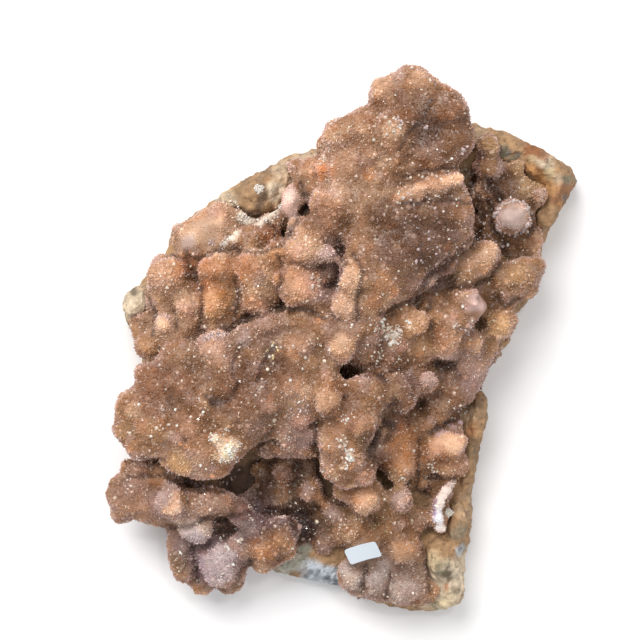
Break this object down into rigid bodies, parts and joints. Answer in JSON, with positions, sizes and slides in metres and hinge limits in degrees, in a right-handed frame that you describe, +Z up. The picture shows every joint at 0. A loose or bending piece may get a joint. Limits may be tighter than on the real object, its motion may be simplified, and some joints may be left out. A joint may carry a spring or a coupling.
{
  "type": "amethyst cluster",
  "caption": "Broad cluster of druse-covered, iron-stained amethyst lobes grown on a slab of host rock, lying on its flat back with a small blank paper label.",
  "frame": {"origin": "on the flat underside of the host rock, below the middle of the cluster", "axes": "+Z up out of the crystals, square to the resting face; +Y towards the tall head of the cluster, along its length; +X to the right when the cluster is seen from above with the head away from the viewer"},
  "size_m": [0.3089, 0.3531, 0.1098],
  "materials": {
    "stained_amethyst": "fine sparkling druse, iron-stained brown and orange over lilac",
    "host_rock": "rough broken rock",
    "label_paper": "matte"
  },
  "bodies": {
    "root": {"amethyst_crust": "stained_amethyst", "host_rock": "host_rock", "paper_label": "label_paper"}
  },
  "joints": []
}
